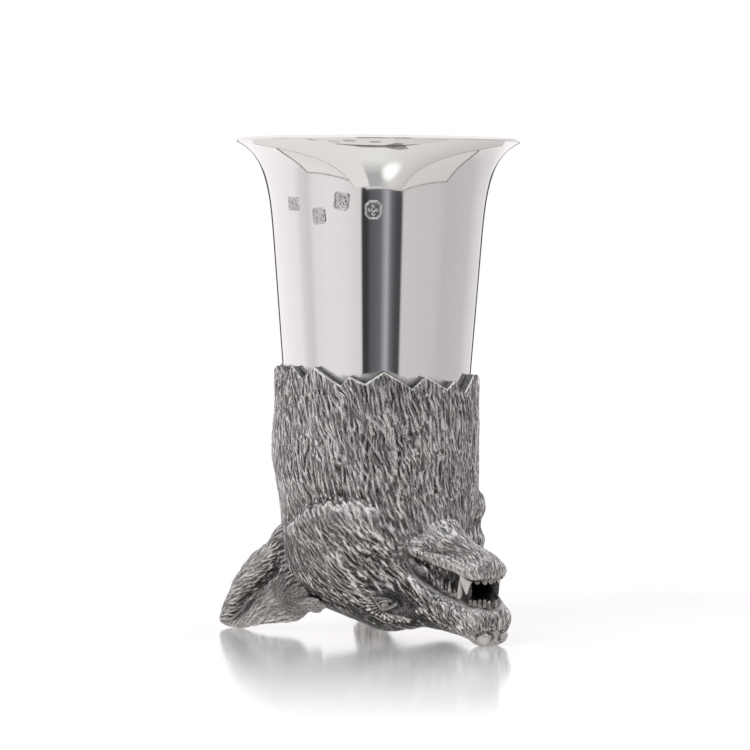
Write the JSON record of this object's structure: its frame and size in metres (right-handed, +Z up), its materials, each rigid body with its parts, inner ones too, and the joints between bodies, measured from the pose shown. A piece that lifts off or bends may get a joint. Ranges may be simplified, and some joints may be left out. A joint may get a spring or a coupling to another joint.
{
  "type": "stirrup cup",
  "caption": "Polished flared silver beaker let into a hollow cast fox mask that hangs upside down and stands on its nose and ear tips, for a parting drink.",
  "frame": {"origin": "middle of the bounding box's footprint, on the table that the cup stands on", "axes": "+Z up along the beaker's axis, -Y the way the muzzle points, +X the side of the right ear"},
  "size_m": [0.0746, 0.0846, 0.13],
  "materials": {
    "polished_silver": "mirror polished sterling silver with faint turning lines",
    "oxidised_silver": "cast and chased fur, oxidised dark in the recesses and rubbed bright on the ridges",
    "bright_silver": "rubbed bright silver"
  },
  "bodies": {
    "root": {"beaker_wall": "polished_silver", "beaker_base": "polished_silver", "seat_ring": "polished_silver", "mask": "oxidised_silver", "lower_jaw": "oxidised_silver", "ear_left": "oxidised_silver", "ear_right": "oxidised_silver", "eye_left": "bright_silver", "eye_right": "bright_silver", "canine_teeth": "bright_silver", "upper_teeth": "bright_silver", "lower_teeth": "bright_silver"}
  },
  "joints": []
}
